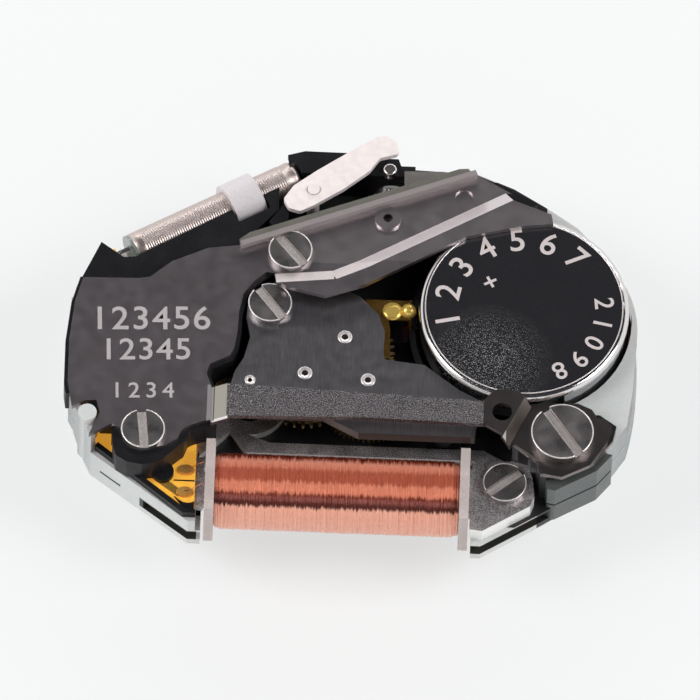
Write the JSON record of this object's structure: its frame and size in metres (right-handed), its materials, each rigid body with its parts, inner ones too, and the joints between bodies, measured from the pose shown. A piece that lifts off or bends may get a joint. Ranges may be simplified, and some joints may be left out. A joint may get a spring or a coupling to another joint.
{
  "type": "quartz watch movement",
  "caption": "Flat oval quartz watch movement with a button cell, copper coil, tuning-fork crystal, gear train under a steel bridge, and posts for the hands.",
  "frame": {"origin": "on the hands' axis, in the face that the dial rests on", "axes": "+Z from the dial side to the cell side, +Y towards the stem, +X to the right seen from the cell side"},
  "size_m": [0.0185, 0.0141, 0.0049],
  "materials": {
    "plate_plastic": "satin moulded",
    "cover_steel": "fine grained, darkened",
    "bridge_steel": "brushed",
    "screw_steel": "polished",
    "bright_steel": "polished",
    "soft_iron": "speckled satin",
    "brass": "satin",
    "gilt": "polished gilt",
    "magnet": "sintered",
    "copper_wire": "lacquered copper",
    "solder": "satin",
    "copper_track": "gilt copper",
    "clear_plastic": "translucent",
    "amber_film": "glossy film",
    "black_plastic": "satin moulded",
    "chip_resin": "matte",
    "contact_metal": "dark satin",
    "cell_steel": "polished",
    "cell_mass": "pressed powder",
    "gasket": "matte",
    "insulator": "film",
    "crystal_metal": "satin nickel",
    "glass_seal": "glossy",
    "quartz": "clear",
    "pale_plastic": "translucent pale"
  },
  "bodies": {
    "frame": {"main_plate": "plate_plastic", "keyless_housing": "black_plastic", "plate_bushes": "brass", "motion_posts": "bright_steel", "motion_cover": "bridge_steel", "motion_cover_screws": "screw_steel", "stator": "soft_iron", "coil_core": "soft_iron", "coil_bobbin": "clear_plastic", "coil_winding": "copper_wire", "circuit_board": "amber_film", "circuit_tracks": "copper_track", "coil_terminals": "solder", "ic_chip": "chip_resin", "circuit_spacer": "black_plastic", "cover_plate": "cover_steel", "clamp_plate": "bridge_steel", "contact_block": "contact_metal", "train_bridge": "bridge_steel", "bridge_bushes": "bright_steel", "bridge_pin": "bright_steel", "cover_screws": "screw_steel", "bridge_screw": "screw_steel", "coil_screw": "screw_steel", "clamp_screw": "screw_steel", "cell_can": "cell_steel", "cell_gasket": "gasket", "cell_cap": "cell_steel", "cell_filling": "cell_mass", "cell_insulator": "insulator", "negative_contact": "gilt", "crystal_can": "crystal_metal", "crystal_base": "glass_seal", "crystal_leads": "solder", "quartz_fork": "quartz", "crystal_clip": "pale_plastic", "yoke_post": "bright_steel", "lever_pin": "bright_steel", "setting_spring": "bright_steel", "release_button": "bright_steel"},
    "rotor": {"rotor_magnet": "magnet", "rotor_pinion": "bright_steel"},
    "fifth": {"fifth_wheel": "brass", "fifth_pinion": "bright_steel"},
    "seconds": {"fourth_wheel": "brass", "seconds_arbor": "bright_steel"},
    "third": {"third_wheel": "brass", "third_pinion": "bright_steel"},
    "centre": {"centre_wheel": "brass", "cannon_pinion": "bright_steel"},
    "minute_works": {"minute_wheel": "brass", "minute_pinion": "bright_steel"},
    "hour": {"hour_wheel": "brass"},
    "setting": {"setting_wheel": "brass"},
    "lever": {"setting_lever": "bright_steel"},
    "yoke": {"yoke": "bright_steel"},
    "clutch": {"clutch_wheel": "bright_steel"}
  },
  "joints": [
    {"name": "seconds_spin", "type": "hinge", "parent": "frame", "child": "seconds", "pos_m": [0, 0, 0.001], "axis": [0, 0, 1], "continuous": true},
    {"name": "fifth_spin", "type": "hinge", "parent": "frame", "child": "fifth", "pos_m": [-0.00124, -0.0014, 0.001], "axis": [0, 0, 1], "continuous": true},
    {"name": "rotor_spin", "type": "hinge", "parent": "frame", "child": "rotor", "pos_m": [-0.00301, -0.00174, 0.001], "axis": [0, 0, 1], "continuous": true},
    {"name": "third_spin", "type": "hinge", "parent": "frame", "child": "third", "pos_m": [0.0008, -0.00157, 0.001], "axis": [0, 0, 1], "continuous": true},
    {"name": "centre_spin", "type": "hinge", "parent": "frame", "child": "centre", "pos_m": [0, 0, 0.001], "axis": [0, 0, 1], "continuous": true},
    {"name": "minute_works_spin", "type": "hinge", "parent": "frame", "child": "minute_works", "pos_m": [-0.00068, 0.00188, 0.001], "axis": [0, 0, 1], "continuous": true},
    {"name": "hour_spin", "type": "hinge", "parent": "frame", "child": "hour", "pos_m": [0, 0, 0.001], "axis": [0, 0, 1], "continuous": true},
    {"name": "setting_spin", "type": "hinge", "parent": "frame", "child": "setting", "pos_m": [0.00133, 0.00357, 0.001], "axis": [0, 0, 1], "continuous": true},
    {"name": "lever_turn", "type": "hinge", "parent": "frame", "child": "lever", "pos_m": [-0.0012, 0.00544, 0.00245], "axis": [0, 0, 1], "range_deg": [0, 8]},
    {"name": "yoke_turn", "type": "hinge", "parent": "frame", "child": "yoke", "pos_m": [-0.00138, 0.00449, 0.0012], "axis": [0, 0, 1], "range_deg": [-6, 0]},
    {"name": "clutch_slide", "type": "slide", "parent": "frame", "child": "clutch", "axis": [0, -1, 0], "range_m": [0, 0.00021]}
  ],
  "couplings": [
    {"joint": "fifth_spin", "follows": "seconds_spin", "ratio": -5},
    {"joint": "rotor_spin", "follows": "seconds_spin", "ratio": 30},
    {"joint": "third_spin", "follows": "seconds_spin", "ratio": -0.13333},
    {"joint": "centre_spin", "follows": "seconds_spin", "ratio": 0.016667},
    {"joint": "minute_works_spin", "follows": "seconds_spin", "ratio": -0.0055556},
    {"joint": "hour_spin", "follows": "seconds_spin", "ratio": 0.0013889},
    {"joint": "setting_spin", "follows": "seconds_spin", "ratio": 0.0074074},
    {"joint": "lever_turn", "follows": "clutch_slide", "rad_per_m": 664.89},
    {"joint": "yoke_turn", "follows": "clutch_slide", "rad_per_m": -458.77}
  ]
}
